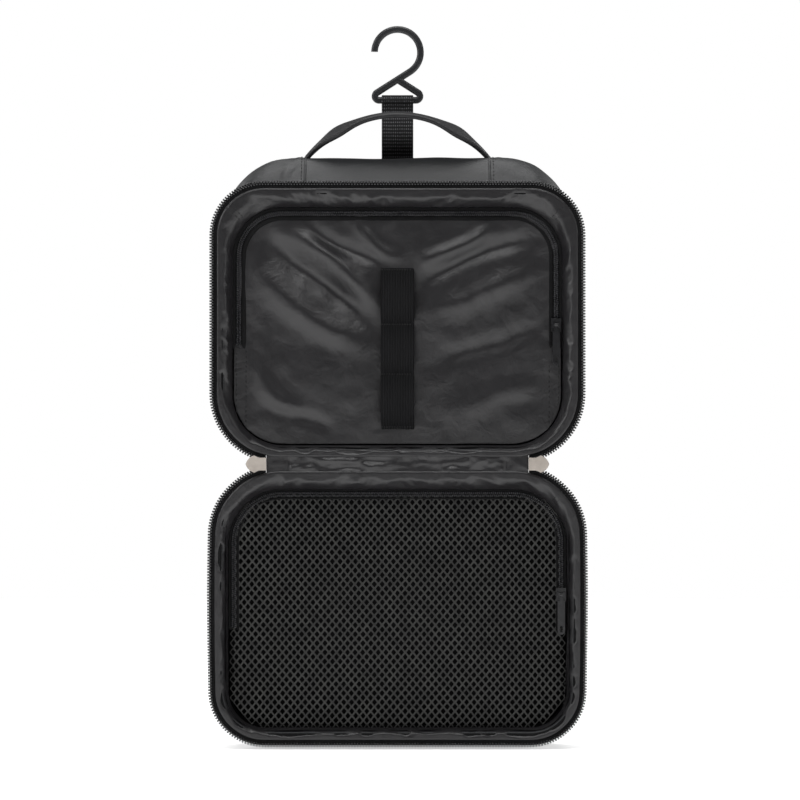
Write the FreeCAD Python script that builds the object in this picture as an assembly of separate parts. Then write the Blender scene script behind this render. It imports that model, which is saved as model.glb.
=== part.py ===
"""Hanging toiletry bag: two soft cases joined by a fabric spine, shown unzipped and hung open.

Frame: +X is the wearer's right as they face the open bag, +Y points to the wall behind, +Z is up.
The origin is the seat of the hook, the point inside its crown that rests on a rail.
Each case is laid out from the fold line: u is the distance from that line, up for the
upper case and down for the lower one. All sizes are in millimetres.
"""

import FreeCAD
import Part
import math
import os

V = FreeCAD.Vector

# ---- hook, webbing and handle -------------------------------------------------
HOOK_INNER_R = 12.5        # inside radius of the crook
HOOK_ROD = 4.3             # moulded rod, square with rounded edges
HOOK_ROD_ROUND = 1.5
HOOK_TIP_DEG = 178.0       # where the open tip ends, from +X
HOOK_LEG_CLEARANCE = 0.42  # from each leg of the triangle to the webbing that goes round the bar
HOOK_BAR_DROP = 43.0       # from the seat down to the middle of the webbing bar
HOOK_CORNER_R = 2.6        # bend of the rod's middle line at the bar's ends
WEBBING_W = 20.2
WEBBING_T = 1.1
BAR_CLEARANCE = 0.15       # between the bar and the webbing loop
STRAP_TAIL_L = 25.0        # sewn down on the back panel
PIVOT_GAP = 0.4            # bare webbing between a sewn end and the part that swings
HANDLE_HALF_SPAN = 58.0
HANDLE_RISE = 27.5         # from the line it swings about
HANDLE_W = 20.0
HANDLE_T = 3.2
HANDLE_END_W = 3.0
HANDLE_TAPER_L = 20.0
HANDLE_CLEARANCE = 0.3     # under the round lower edge of its ends

# ---- the two cases -------------------------------------------------------------
FOLD_DROP = 274.0          # from the seat down to the fold line
CASE_HALF_W = 117.5        # to the zip teeth
CASE_H = 177.0             # from the fold line to the zip teeth
TEETH_R_FREE = 34.0        # corner radius of the tooth line, side away from the fold
TEETH_R_FOLD = 44.0        # and on the fold side
FLANGE_W = 8.0             # zip tape and teeth outside the wall seam
TOOTH_DEPTH = 1.8
TAPE_T = 1.2
CASE_DEPTH = 46.0          # rim plane to the back panel's outer face
WALL_T = 1.8
BACK_T = 1.2
FOAM_T = 3.0
LINING_T = 0.6
BACK_GAP = 1.5             # back panel's outer face in front of the webbing's middle
CREST_RISE = 16.0          # top wall above the tooth line where the handle lifts it
CREST_SHARE = 0.57         # depth of that crest, as a share of the case's depth
CREST_R = 44.0             # corner radius there and at the upper back panel
BACK_DROP = 2.0            # upper back panel's edge under the crest
SHOULDER_SHARE = 0.24      # depth at which the top wall has most of its rise
SHOULDER_RISE = 0.58       # the share of the rise that it has there
FOLD_GAP = 0.5             # fold axis in front of the rim plane
SPINE_HALF_L = 80.0
SPINE_GAP = 0.4            # each leaf of the spine stops this short of the fold line
TOP_PANEL_HALF = 58.0      # seams of the top wall's middle piece, at the handle's ends

# ---- pockets --------------------------------------------------------------------
RECESS = 8.5               # pocket plane behind the rim plane
PANEL_T = 0.6
MESH_T = 0.9
UPPER_BAND_HALF = 4.3      # half the visible width of each pocket zip
LOWER_BAND_HALF = 3.4
BAND_T = 0.8
COIL_HALF = 1.4
COIL_T = 1.2
COIL_CLEARANCE = 0.3       # pocket slider round the coil
STRIP_T = 0.8
UPPER_COIL_INSET_X = 18.0  # from the tooth line to the middle of the coil
UPPER_COIL_INSET_U = 20.0
UPPER_COIL_R = 27.0
UPPER_ZIP_END_SHARE = 0.407  # heights of the zip's ends and slider, as shares of the case's height
UPPER_SLIDER_SHARE = 0.4915
LOWER_COIL_INSET_X = 14.9
LOWER_COIL_U = 19.0
LOWER_COIL_R = 30.0
LOWER_ZIP_END_SHARE = 0.5876
LOWER_SLIDER_SHARE = 0.4633
FLAP_W = 9.0               # side flaps below the pocket zips
PANEL_FOLD_R = 32.0        # corner radius of the upper pocket panel at the fold

# ---- elastic band ----------------------------------------------------------------
ELASTIC_W = 20.6
ELASTIC_T = 1.2
ELASTIC_LOW_U = 25.2       # its lower end, from the fold line
LOOP_LENGTHS = (33.0, 30.0, 32.0)
LOOP_RISE = 6.6            # outer face of a loop above the pocket panel
LOOP_SEAM = 2.4            # length of each row of stitches that holds the band down

# ---- zip sliders -------------------------------------------------------------------
SLIDER_TAIL_X = 82.0       # inner end of a main slider
SLIDER_L = 12.8
SLIDER_HALF_W = 5.4
SLIDER_TAIL_HALF = 4.0
SLIDER_PLATE_T = 1.2
SLIDER_THROAT = 2.8        # between the two plates
SLIDER_SWEEP = 0.7         # clearance round the turning slider
CROWN_H = 3.4
CROWN_PIN_R = 0.8
PULL_L = 24.0
PULL_W = 6.0
PULL_T = 1.6
POCKET_SLIDER_L = 8.5
POCKET_SLIDER_W = 6.2
POCKET_PLATE_T = 1.1
POCKET_EYE_WALL = 0.5
POCKET_PULL_L = 25.0
POCKET_PULL_W = 4.6
POCKET_PULL_T = 1.0
PIN_CLEARANCE = 0.08

# ---- worked out from the sizes above --------------------------------------------------
BACK_Y = -BACK_GAP
RIM_Y = BACK_Y - CASE_DEPTH
FOLD_Y = RIM_Y - FOLD_GAP
FOLD_Z = -FOLD_DROP
SEAM_Y = RIM_Y + TAPE_T
POCKET_Y = RIM_Y + RECESS
WALL_HALF_W = CASE_HALF_W - FLANGE_W
WALL_TOP_U = CASE_H - FLANGE_W
WALL_FOLD_R = TEETH_R_FOLD - FLANGE_W
WALL_FREE_R = TEETH_R_FREE - FLANGE_W
CREST_U = CASE_H + CREST_RISE
BACK_U = CREST_U - BACK_DROP
CREST_Y = RIM_Y + CREST_SHARE * CASE_DEPTH
UPPER, LOWER = 1, -1
FAR = 400.0                # longer than the object, for cutting boxes


def z_of(side, u):
    return FOLD_Z + side * u


def outline(y, side, half_w, u_fold, u_free, r_fold, r_free):
    """Closed rounded rectangle in the plane at y; the two fold corners and the two free ones differ."""
    c = math.sqrt(0.5)

    def p(x, u):
        return V(x, y, z_of(side, u))

    def corner(sx, u_centre, su, r):
        x = sx * (half_w - r)
        a, m, b = (x + sx * r, u_centre), (x + sx * r * c, u_centre + su * r * c), (x, u_centre + su * r)
        return a, m, b

    free_r, free_l = (corner(s, u_free - r_free, 1, r_free) for s in (1, -1))
    fold_r, fold_l = (corner(s, u_fold + r_fold, -1, r_fold) for s in (1, -1))
    edges = [
        Part.LineSegment(p(*fold_r[0]), p(*free_r[0])),
        Part.Arc(p(*free_r[0]), p(*free_r[1]), p(*free_r[2])),
        Part.LineSegment(p(*free_r[2]), p(*free_l[2])),
        Part.Arc(p(*free_l[2]), p(*free_l[1]), p(*free_l[0])),
        Part.LineSegment(p(*free_l[0]), p(*fold_l[0])),
        Part.Arc(p(*fold_l[0]), p(*fold_l[1]), p(*fold_l[2])),
        Part.LineSegment(p(*fold_l[2]), p(*fold_r[2])),
        Part.Arc(p(*fold_r[2]), p(*fold_r[1]), p(*fold_r[0])),
    ]
    return Part.Wire([e.toShape() for e in edges])


def shrunk(shape, by):
    """The same outline sizes, moved inwards on all sides."""
    half_w, u_fold, u_free, r_fold, r_free = shape
    return half_w - by, u_fold + by, u_free - by, r_fold - by, r_free - by


def plate(side, shape, y0, y1):
    return Part.Face(outline(y0, side, *shape)).extrude(V(0, y1 - y0, 0))


def loft(side, sections):
    return Part.makeLoft([outline(y, side, *shape) for y, shape in sections], True, True)


def block(x0, x1, y0, y1, z0, z1):
    low = V(min(x0, x1), min(y0, y1), min(z0, z1))
    return Part.makeBox(abs(x1 - x0), abs(y1 - y0), abs(z1 - z0), low)


def u_block(side, x0, x1, u0, u1, y0=-FAR, y1=FAR):
    return block(x0, x1, y0, y1, z_of(side, u0), z_of(side, u1))


def polygon(points):
    return Part.Face(Part.makePolygon([*points, points[0]]))


def save(name, *shapes):
    """Writes the solids of one piece, or of a group of like pieces, to its own file."""
    solids = [s for shape in shapes for s in shape.Solids]
    for solid in solids:
        if not solid.isValid() or solid.Volume <= 0:
            raise ValueError(f"{name} has a bad solid")
    shape = solids[0] if len(solids) == 1 else Part.makeCompound(solids)
    shape.exportStep(os.path.join("parts", name + ".step"))


# ---- hanger hook: one moulded rod, a crook above and a triangle that takes the webbing ----
def rod_section(at, across):
    """Rounded square section of the rod, with one side along Y and the other along across."""
    h, r = HOOK_ROD / 2, HOOK_ROD_ROUND
    k = r * (1 - math.sqrt(0.5))

    def p(a, b):
        return at + across * a + V(0, b, 0)

    edges = []
    for sa, sb in ((1, 1), (-1, 1), (-1, -1), (1, -1)):
        first, last = p(sa * h, sb * (h - r)), p(sa * (h - r), sb * h)
        mid = p(sa * (h - k), sb * (h - k))
        if sa * sb < 0:
            first, last = last, first
        edges.append((first, mid, last))
    shapes = []
    for i, (first, mid, last) in enumerate(edges):
        shapes.append(Part.Arc(first, mid, last).toShape())
        shapes.append(Part.LineSegment(last, edges[(i + 1) % 4][0]).toShape())
    return Part.Wire(shapes)


def bar_z():
    return -HOOK_BAR_DROP


def webbing_bore():
    """Radius of the webbing's loop inside: it turns round the rod's rounded corners."""
    return HOOK_ROD / 2 + (HOOK_ROD / 2 - HOOK_ROD_ROUND) * (math.sqrt(2) - 1) + BAR_CLEARANCE


def leg_line(slope):
    """Where a leg of this slope leaves the crook, and where it would reach the bar's line."""
    mid_r = HOOK_INNER_R + HOOK_ROD / 2
    leave = V(mid_r * math.sin(slope), 0, -HOOK_INNER_R - mid_r * math.cos(slope))
    return leave, V(leave.x - (leave.z - bar_z()) / math.tan(slope), 0, bar_z())


def leg_slope():
    """The steepest leg that still clears the upper corners of the webbing's loop."""
    corner = V(-WEBBING_W / 2, 0, bar_z() + webbing_bore() + WEBBING_T)
    flat, steep = math.radians(15), math.radians(60)
    for _ in range(40):
        slope = (flat + steep) / 2
        left = leg_line(slope)[1]
        above = (corner.x - left.x) * math.sin(slope) - (corner.z - left.z) * math.cos(slope)
        if above > HOOK_ROD / 2 + HOOK_LEG_CLEARANCE:
            flat = slope
        else:
            steep = slope
    return flat


def hanger_hook():
    mid_r, slope = HOOK_INNER_R + HOOK_ROD / 2, leg_slope()
    leave, left = leg_line(slope)
    centre = V(0, 0, -HOOK_INNER_R)
    tip_a = math.radians(HOOK_TIP_DEG)
    tip = centre + V(mid_r * math.cos(tip_a), 0, mid_r * math.sin(tip_a))
    crown_a = (tip_a + slope - math.pi / 2) / 2
    crown = centre + V(mid_r * math.cos(crown_a), 0, mid_r * math.sin(crown_a))
    along = V(-math.cos(slope), 0, -math.sin(slope))
    back_off = HOOK_CORNER_R / math.tan(slope / 2)
    turn_in = left - along * back_off
    turn_out = left + V(back_off, 0, 0)
    turn_centre = turn_out + V(0, 0, HOOK_CORNER_R)
    bulge = (left - turn_centre).normalize()
    turn_mid = turn_centre + bulge * HOOK_CORNER_R
    right_out, right_in = V(-turn_out.x, 0, turn_out.z), V(-turn_in.x, 0, turn_in.z)
    right_mid = V(-turn_mid.x, 0, turn_mid.z)
    path = Part.Wire([
        Part.Arc(tip, crown, leave).toShape(),
        Part.LineSegment(leave, turn_in).toShape(),
        Part.Arc(turn_in, turn_mid, turn_out).toShape(),
        Part.LineSegment(turn_out, right_out).toShape(),
        Part.Arc(right_out, right_mid, right_in).toShape(),
    ])
    radial = V(math.cos(tip_a), 0, math.sin(tip_a))
    rod = path.makePipeShell([rod_section(tip, radial)], True, False)
    up_left = V(-math.cos(slope), 0, math.sin(slope))
    across = V(math.sin(slope), 0, math.cos(slope))
    reach = right_in.x / math.cos(slope)
    leg = Part.Face(rod_section(right_in, across)).extrude(up_left * reach)
    return rod.fuse(leg).removeSplitter()


# ---- hang strap: webbing doubled round the hook's bar and sewn to itself ------------------
def strap_pivot_z():
    return z_of(UPPER, BACK_U) + PIVOT_GAP


def hang_strap():
    inner = webbing_bore()
    outer = inner + WEBBING_T
    half = WEBBING_W / 2
    z0, z1 = strap_pivot_z() + PIVOT_GAP, bar_z()
    lie = 2.2 * outer
    ring = Part.makeCylinder(outer, WEBBING_W, V(-half, 0, z1), V(1, 0, 0))
    neck = polygon([V(-half, -outer * 0.93, z1 - outer * 0.37), V(-half, outer * 0.93, z1 - outer * 0.37),
                    V(-half, WEBBING_T, z1 - lie), V(-half, -WEBBING_T, z1 - lie)])
    band = block(-half, half, -WEBBING_T, WEBBING_T, z0, z1 - lie)
    hole = Part.makeCylinder(inner, WEBBING_W, V(-half, 0, z1), V(1, 0, 0))
    return ring.fuse(neck.extrude(V(WEBBING_W, 0, 0))).fuse(band).removeSplitter().cut(hole)


def strap_tail():
    top = z_of(UPPER, BACK_U) - PIVOT_GAP
    return block(-WEBBING_W / 2, WEBBING_W / 2, BACK_Y, BACK_Y + WEBBING_T, top, top - STRAP_TAIL_L)


# ---- carry handle: a flat padded band that stands in an arc over the top wall --------------
def carry_handle():
    base = z_of(UPPER, CREST_U) + HANDLE_CLEARANCE + HANDLE_END_W / 2
    radius = (HANDLE_HALF_SPAN ** 2 + HANDLE_RISE ** 2) / (2 * HANDLE_RISE)
    centre = V(0, CREST_Y, base + HANDLE_RISE - radius)
    ring = Part.makeCylinder(radius, HANDLE_W, centre - V(0, HANDLE_W / 2, 0), V(0, 1, 0))
    start = centre - V(0, HANDLE_W / 2, 0)
    ring = ring.cut(Part.makeCylinder(radius - HANDLE_T, HANDLE_W, start, V(0, 1, 0)))
    end, wide, tall = HANDLE_END_W / 2, HANDLE_W / 2, base + HANDLE_TAPER_L
    side_view = polygon([V(-FAR, CREST_Y - end, base), V(-FAR, CREST_Y + end, base),
                         V(-FAR, CREST_Y + wide, tall), V(-FAR, CREST_Y + wide, base + FAR),
                         V(-FAR, CREST_Y - wide, base + FAR), V(-FAR, CREST_Y - wide, tall)])
    round_ends = Part.makeCylinder(end, 2 * FAR, V(-FAR, CREST_Y, base), V(1, 0, 0))
    return ring.common(side_view.extrude(V(2 * FAR, 0, 0)).fuse(round_ends)).removeSplitter()


# ---- case walls and panels --------------------------------------------------------------
def teeth_line():
    return CASE_HALF_W, 0.0, CASE_H, TEETH_R_FOLD, TEETH_R_FREE


def seam_line():
    return shrunk(teeth_line(), FLANGE_W)


def crest_line(u):
    return WALL_HALF_W + 0.5, FLANGE_W, u, WALL_FOLD_R, CREST_R


def wall_sections(side):
    back = BACK_Y - BACK_T
    if side == LOWER:
        return [(SEAM_Y, seam_line()), (back, seam_line())]
    share = SHOULDER_RISE
    shoulder_r = WALL_FREE_R + share * (CREST_R - WALL_FREE_R)
    shoulder = (WALL_HALF_W, FLANGE_W, WALL_TOP_U + share * (CREST_U - WALL_TOP_U), WALL_FOLD_R, shoulder_r)
    return [(SEAM_Y, seam_line()), (RIM_Y + SHOULDER_SHARE * CASE_DEPTH, shoulder),
            (CREST_Y, crest_line(CREST_U)), (back, crest_line(BACK_U))]


def back_line(side):
    return seam_line() if side == LOWER else crest_line(BACK_U)


def slider_sweep():
    """The round space that the two main sliders turn in at the ends of the spine."""
    reach = math.hypot(SLIDER_HALF_W, SLIDER_THROAT / 2 + SLIDER_PLATE_T) + SLIDER_SWEEP
    start = SLIDER_TAIL_X - SLIDER_SWEEP
    length = SLIDER_L + 2 * SLIDER_SWEEP
    ends = [Part.makeCylinder(reach, length, V(x, FOLD_Y, FOLD_Z), V(1, 0, 0))
            for x in (start, -start - length)]
    return ends[0].fuse(ends[1])


def case_shell(side, name):
    sections = wall_sections(side)

    def inset(by):
        return loft(side, [(y, shrunk(s, by)) for y, s in sections])

    wall = loft(side, sections).cut(inset(WALL_T))
    end_part = u_block(side, -TOP_PANEL_HALF, TOP_PANEL_HALF, CASE_H / 2, CASE_H + FAR)
    fold_part = u_block(side, -SPINE_HALF_L, SPINE_HALF_L, -FAR, CASE_H / 2)
    fold_part = fold_part.common(u_block(side, -FAR, FAR, 0, FLANGE_W + WALL_T + 1.0))
    save(name + "_end_wall", wall.common(end_part))
    save(name + "_fold_wall", wall.common(fold_part))
    save(name + "_side_walls", wall.cut(end_part).cut(fold_part))
    save(name + "_back_panel", plate(side, back_line(side), BACK_Y - BACK_T, BACK_Y))
    foam_y = BACK_Y - BACK_T - FOAM_T
    foam_line = shrunk(back_line(side), WALL_T + 2 * LINING_T)
    save(name + "_back_foam", plate(side, foam_line, foam_y, BACK_Y - BACK_T))
    front_of_foam = block(-FAR, FAR, -FAR, foam_y, -FAR * 2, FAR)
    hollow = inset(WALL_T + LINING_T).common(block(-FAR, FAR, -FAR, foam_y - LINING_T, -FAR * 2, FAR))
    save(name + "_lining", inset(WALL_T).common(front_of_foam).cut(hollow))


def main_zip(side, name):
    under = WALL_T + LINING_T + STRIP_T
    gap = u_block(side, -SPINE_HALF_L, SPINE_HALF_L, -1, FLANGE_W + under + 0.01)
    sweep = slider_sweep()
    tape_line = shrunk(teeth_line(), TOOTH_DEPTH)
    tape = plate(side, tape_line, RIM_Y, SEAM_Y).cut(plate(side, shrunk(seam_line(), under), RIM_Y, SEAM_Y))
    save(name + "_zip_tape", tape.cut(gap).cut(sweep))
    teeth = plate(side, teeth_line(), RIM_Y, SEAM_Y).cut(plate(side, tape_line, RIM_Y, SEAM_Y))
    save(name + "_zip_teeth", teeth.cut(gap).cut(sweep))
    leaf = u_block(side, -SPINE_HALF_L, SPINE_HALF_L, SPINE_GAP, FLANGE_W + under, RIM_Y, SEAM_Y)
    save(name + "_spine_leaf", leaf)


# ---- pockets ---------------------------------------------------------------------------
def coil_line(side):
    if side == UPPER:
        top_u = CASE_H - UPPER_COIL_INSET_U
        return CASE_HALF_W - UPPER_COIL_INSET_X, FLANGE_W, top_u, PANEL_FOLD_R, UPPER_COIL_R
    return CASE_HALF_W - LOWER_COIL_INSET_X, LOWER_COIL_U, WALL_TOP_U, LOWER_COIL_R, WALL_FREE_R


def zip_reach(side):
    """The part of the case that the pocket zip runs over, as a cutting block."""
    if side == UPPER:
        return u_block(side, -FAR, FAR, UPPER_ZIP_END_SHARE * CASE_H, FAR)
    return u_block(side, -FAR, FAR, -1, LOWER_ZIP_END_SHARE * CASE_H)


def band_half(side):
    return UPPER_BAND_HALF if side == UPPER else LOWER_BAND_HALF


def band_of(side, out, into, y0, y1):
    """Ring along the zip's line, reaching outwards and inwards from it by two widths."""
    line = coil_line(side)
    ring = plate(side, shrunk(line, -out), y0, y1).cut(plate(side, shrunk(line, into), y0, y1))
    return ring.common(zip_reach(side))


def panel_edge(side):
    """The outer edge of the pocket front: round the zip, and close to the wall on the other side."""
    half_w, u_fold, u_free, r_fold, r_free = shrunk(coil_line(side), -band_half(side))
    near = WALL_T + LINING_T + STRIP_T
    if side == UPPER:
        return half_w, FLANGE_W + near, u_free, PANEL_FOLD_R, r_free
    return half_w, u_fold, WALL_TOP_U - near, r_fold, WALL_FREE_R - near


def pocket_front(side, name, panel_name, panel_t):
    edge = panel_edge(side)
    edge_out = shrunk(edge, -STRIP_T)
    rim = shrunk(seam_line(), WALL_T + LINING_T)
    skin = loft(side, [(SEAM_Y, rim), (POCKET_Y, edge_out)])
    save(name + "_lining_strip", skin.cut(loft(side, [(SEAM_Y, shrunk(rim, STRIP_T)), (POCKET_Y, edge)])))
    half = band_half(side)
    save(name + "_pocket_tape", band_of(side, half + STRIP_T, half, POCKET_Y, POCKET_Y + BAND_T))
    save(name + "_pocket_coil", band_of(side, COIL_HALF, COIL_HALF, POCKET_Y - COIL_T, POCKET_Y))
    front = plate(side, edge_out, POCKET_Y, POCKET_Y + panel_t)
    flap_x = edge[0] - FLAP_W
    sides = u_block(side, -flap_x, flap_x, -FAR, FAR)
    save(name + "_side_flaps", front.cut(sides).cut(zip_reach(side)))
    inner = plate(side, shrunk(coil_line(side), half), POCKET_Y, POCKET_Y + panel_t).common(zip_reach(side))
    below = front.common(sides).cut(zip_reach(side))
    save(panel_name, inner.fuse(below).removeSplitter())


def pocket_slider(side, name, u):
    """Slider astride the coil, with a crown that holds the pull's pin."""
    x, z = coil_line(side)[0], z_of(side, u)
    channel_half = COIL_HALF + COIL_CLEARANCE
    roof = POCKET_Y - COIL_T - COIL_CLEARANCE
    top = roof - POCKET_PLATE_T
    half_w, half_l = POCKET_SLIDER_W / 2, POCKET_SLIDER_L / 2
    body = block(x - half_w, x + half_w, top, POCKET_Y - COIL_CLEARANCE, z - half_l, z + half_l)
    body = body.cut(block(x - channel_half, x + channel_half, roof, POCKET_Y, z - half_l, z + half_l))
    pin_r = CROWN_PIN_R * 0.7
    eye_r = pin_r + PIN_CLEARANCE
    pin_y = top - eye_r - POCKET_EYE_WALL - PIN_CLEARANCE
    cheek_in = POCKET_PULL_W / 4 + PIN_CLEARANCE
    cheeks = [block(x + s * cheek_in, x + s * half_w * 0.8, top, pin_y - pin_r - 0.3, z - 1.6, z + 1.6)
              for s in (-1, 1)]
    pin = Part.makeCylinder(pin_r, 2 * cheek_in + 0.4, V(x - cheek_in - 0.2, pin_y, z), V(1, 0, 0))
    save(name + "_pocket_slider", body.fuse(cheeks).fuse(pin).removeSplitter())
    eye_at = V(x - POCKET_PULL_W / 4, pin_y, z)
    eye = Part.makeCylinder(eye_r + POCKET_EYE_WALL, POCKET_PULL_W / 2, eye_at, V(1, 0, 0))
    shank = block(x - POCKET_PULL_W / 4, x + POCKET_PULL_W / 4, pin_y - POCKET_PULL_T / 2,
                  pin_y + POCKET_PULL_T / 2, z, z - 4.4)
    tab = rounded_tab(x, pin_y, z - 4.0, POCKET_PULL_W, POCKET_PULL_L - 4.0, POCKET_PULL_T)
    hole = Part.makeCylinder(eye_r, POCKET_PULL_W, V(x - POCKET_PULL_W / 2, pin_y, z), V(1, 0, 0))
    save(name + "_pocket_pull", eye.fuse(shank).fuse(tab).cut(hole).removeSplitter())


def rounded_tab(x, y, z_top, width, length, thick):
    """Flat tab that hangs down from z_top, round at its lower end, with a slotted hole there."""
    r = width / 2
    plate_part = block(x - r, x + r, y - thick / 2, y + thick / 2, z_top, z_top - length + r)
    end = Part.makeCylinder(r, thick, V(x, y - thick / 2, z_top - length + r), V(0, 1, 0))
    slot_r = width * 0.2
    slot = Part.makeCylinder(slot_r, thick, V(x, y - thick / 2, z_top - length + r), V(0, 1, 0))
    upper = Part.makeCylinder(slot_r, thick, V(x, y - thick / 2, z_top - length + 2 * r), V(0, 1, 0))
    low = z_top - length + r
    web = block(x - slot_r, x + slot_r, y - thick / 2, y + thick / 2, low, low + r)
    return plate_part.fuse(end).cut(slot).cut(upper).cut(web)


# ---- elastic band, sewn to the upper pocket front in rows that leave open loops -----------
def loop_arc(z_top, z_low, rise):
    """Face under an arch in the YZ plane that stands off the pocket front by rise."""
    x = -ELASTIC_W / 2
    mid = (z_top + z_low) / 2
    ends = V(x, POCKET_Y, z_top), V(x, POCKET_Y, z_low)
    arch = Part.Arc(ends[0], V(x, POCKET_Y - rise, mid), ends[1]).toShape()
    base = Part.LineSegment(ends[1], ends[0]).toShape()
    return Part.Face(Part.Wire([arch, base])).extrude(V(ELASTIC_W, 0, 0))


def elastic_band():
    z = z_of(UPPER, ELASTIC_LOW_U + sum(LOOP_LENGTHS) + LOOP_SEAM)
    half = ELASTIC_W / 2
    pieces, holes = [], []
    for length in LOOP_LENGTHS:
        pieces.append(block(-half, half, POCKET_Y - ELASTIC_T, POCKET_Y, z, z - LOOP_SEAM))
        z -= LOOP_SEAM / 2
        pieces.append(loop_arc(z, z - length, LOOP_RISE))
        holes.append(loop_arc(z - ELASTIC_T, z - length + ELASTIC_T, LOOP_RISE - ELASTIC_T))
        z -= length - LOOP_SEAM / 2
    pieces.append(block(-half, half, POCKET_Y - ELASTIC_T, POCKET_Y, z, z - LOOP_SEAM))
    band = pieces[0].fuse(pieces[1:])
    for hole in holes:
        band = band.cut(hole)
    return band.removeSplitter()


# ---- main zip sliders, one parked at each end of the spine --------------------------------
def slider_plate(sx, y):
    """Shield shape: a square tail towards the spine and a rounded nose where the tapes part."""
    tail, nose = SLIDER_TAIL_X, SLIDER_TAIL_X + SLIDER_L

    def p(x, z):
        return V(sx * x, y, FOLD_Z + z)

    waist, wide = tail + 0.34 * SLIDER_L, tail + 0.58 * SLIDER_L
    edges = []
    for s in (1, -1):
        shoulder = Part.BSplineCurve()
        middle = p((waist + wide) / 2, s * (SLIDER_TAIL_HALF + 0.55))
        shoulder.interpolate([p(waist, s * SLIDER_TAIL_HALF), middle, p(wide, s * SLIDER_HALF_W)])
        nose_side = Part.BSplineCurve()
        round_off = p(nose - 1.9, s * SLIDER_HALF_W * 0.62)
        nose_side.interpolate([p(wide, s * SLIDER_HALF_W), round_off, p(nose, 0)])
        tail_side = Part.LineSegment(p(tail, s * SLIDER_TAIL_HALF), p(waist, s * SLIDER_TAIL_HALF))
        edges += [tail_side, shoulder, nose_side]
    tail_edge = Part.LineSegment(p(tail, SLIDER_TAIL_HALF), p(tail, -SLIDER_TAIL_HALF))
    wire = Part.Wire(Part.__sortEdges__([e.toShape() for e in [*edges, tail_edge]]))
    return Part.Face(wire).extrude(V(0, SLIDER_PLATE_T, 0))


def main_slider(sx, name):
    half_throat = SLIDER_THROAT / 2
    front = slider_plate(sx, FOLD_Y - half_throat - SLIDER_PLATE_T)
    back = slider_plate(sx, FOLD_Y + half_throat)
    post_x = sx * (SLIDER_TAIL_X + 0.72 * SLIDER_L)
    post = Part.makeCylinder(1.5, SLIDER_THROAT, V(post_x, FOLD_Y - half_throat, FOLD_Z), V(0, 1, 0))
    x = sx * (SLIDER_TAIL_X + 0.5 * SLIDER_L)
    outer_y = FOLD_Y + half_throat + SLIDER_PLATE_T
    pin_y = outer_y + CROWN_H - CROWN_PIN_R - 0.6
    gap = PULL_W / 4 + PIN_CLEARANCE
    lug_far = SLIDER_TAIL_HALF - 0.6
    lugs = [block(x - 1.7, x + 1.7, outer_y, outer_y + CROWN_H, FOLD_Z + s * gap, FOLD_Z + s * lug_far)
            for s in (-1, 1)]
    pin = Part.makeCylinder(CROWN_PIN_R, 2 * gap + 0.6, V(x, pin_y, FOLD_Z - gap - 0.3), V(0, 0, 1))
    save(name + "_slider", front.fuse([back, post, *lugs, pin]).removeSplitter())
    # The pull points to the back, into the gap between the two cases' walls.
    eye_r = CROWN_PIN_R + PIN_CLEARANCE
    eye = Part.makeCylinder(eye_r + 0.7, PULL_W / 2, V(x, pin_y, FOLD_Z - PULL_W / 4), V(0, 0, 1))
    quarter = PULL_W / 4
    shank = block(x - PULL_T / 2, x + PULL_T / 2, pin_y, pin_y + 5.4, FOLD_Z - quarter, FOLD_Z + quarter)
    tab = rounded_tab(0, 0, 0, PULL_W, PULL_L - 5.0, PULL_T)
    tab.rotate(V(0, 0, 0), V(0, 0, 1), 90)
    tab.rotate(V(0, 0, 0), V(1, 0, 0), 90)
    tab.translate(V(x, pin_y + 5.0, FOLD_Z))
    hole = Part.makeCylinder(eye_r, PULL_W, V(x, pin_y, FOLD_Z - PULL_W / 2), V(0, 0, 1))
    save(name + "_pull_tab", eye.fuse([shank, tab]).cut(hole).removeSplitter())


def main():
    os.makedirs("parts", exist_ok=True)
    save("hanger_hook", hanger_hook())
    save("hang_strap", hang_strap())
    save("strap_tail", strap_tail())
    save("carry_handle", carry_handle())
    for side, name in ((UPPER, "upper"), (LOWER, "lower")):
        case_shell(side, name)
        main_zip(side, name)
    pocket_front(UPPER, "upper", "upper_pocket_panel", PANEL_T)
    pocket_front(LOWER, "lower", "lower_mesh_panel", MESH_T)
    pocket_slider(UPPER, "upper", UPPER_SLIDER_SHARE * CASE_H)
    pocket_slider(LOWER, "lower", LOWER_SLIDER_SHARE * CASE_H)
    save("elastic_band", elastic_band())
    main_slider(-1, "left")
    main_slider(1, "right")


main()
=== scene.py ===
import math

import bmesh
import bpy
from mathutils import Matrix, Vector, noise
from mathutils.bvhtree import BVHTree


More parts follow.
